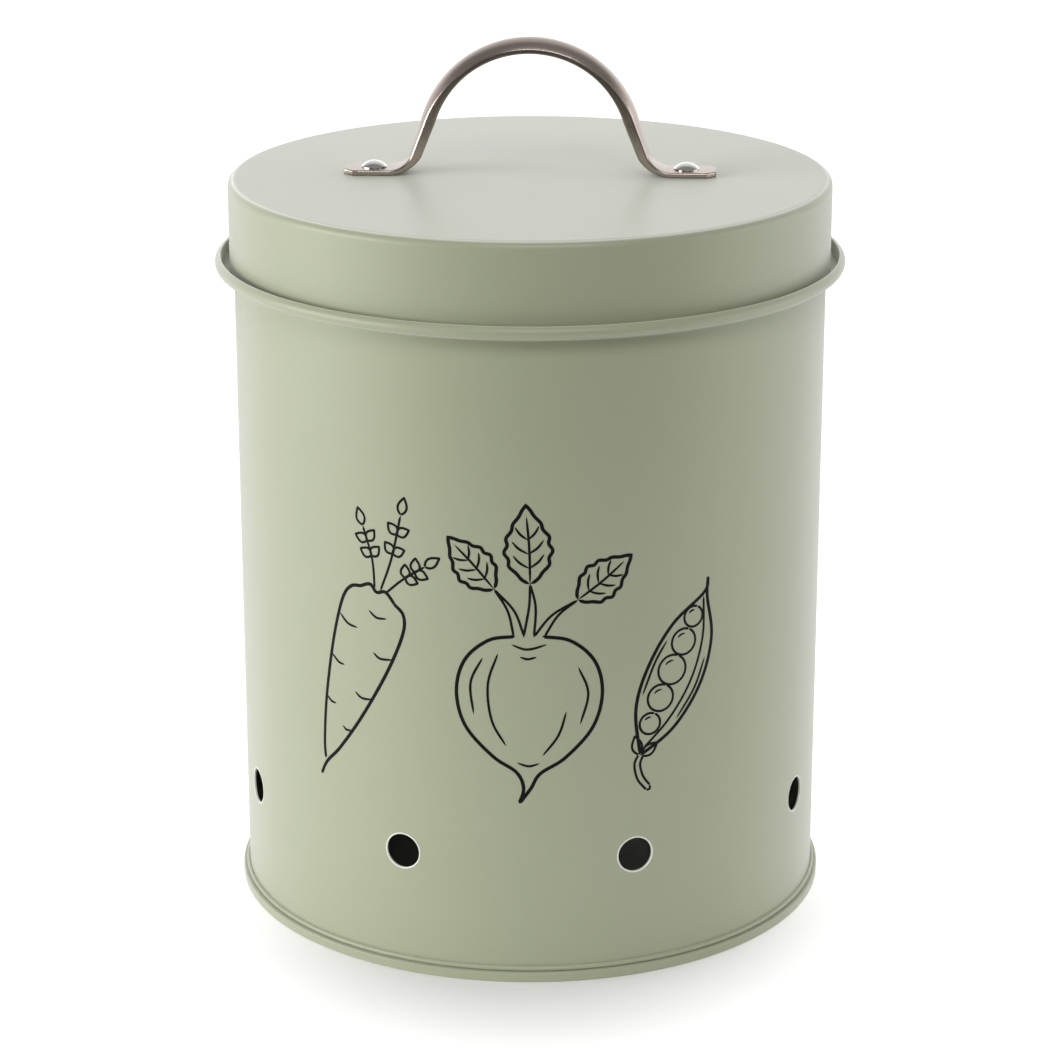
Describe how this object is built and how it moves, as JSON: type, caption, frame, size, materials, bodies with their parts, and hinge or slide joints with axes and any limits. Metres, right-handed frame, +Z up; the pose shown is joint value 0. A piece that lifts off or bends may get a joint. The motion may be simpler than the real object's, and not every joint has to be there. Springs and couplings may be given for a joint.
{
  "type": "vegetable keeper tin",
  "caption": "Round steel tin with a slip lid, a riveted bow handle, a rolled collar round the mouth and vent holes near the foot, for keeping onions and other vegetables.",
  "frame": {"origin": "centre of the circle on which the tin stands, at the underside of the base's folded rim", "axes": "+Z up out of the tin, +X along the bow handle, -Y the front with the print, +Y the back with the side seam"},
  "size_m": [0.1808, 0.1808, 0.2516],
  "materials": {
    "powder_coat": "satin sage green powder coat",
    "brushed_steel": "brushed along the bar",
    "bright_steel": "bright plated"
  },
  "bodies": {
    "tin": {"body_shell": "powder_coat", "base_plate": "powder_coat", "neck_ring": "powder_coat"},
    "lid": {"lid_shell": "powder_coat", "handle": "brushed_steel", "rivet_left": "bright_steel", "rivet_right": "bright_steel", "washer_left": "bright_steel", "washer_right": "bright_steel"}
  },
  "joints": [
    {"name": "lid_lift", "type": "slide", "parent": "tin", "child": "lid", "axis": [0, 0, 1], "range_m": [0, 0.2]}
  ]
}
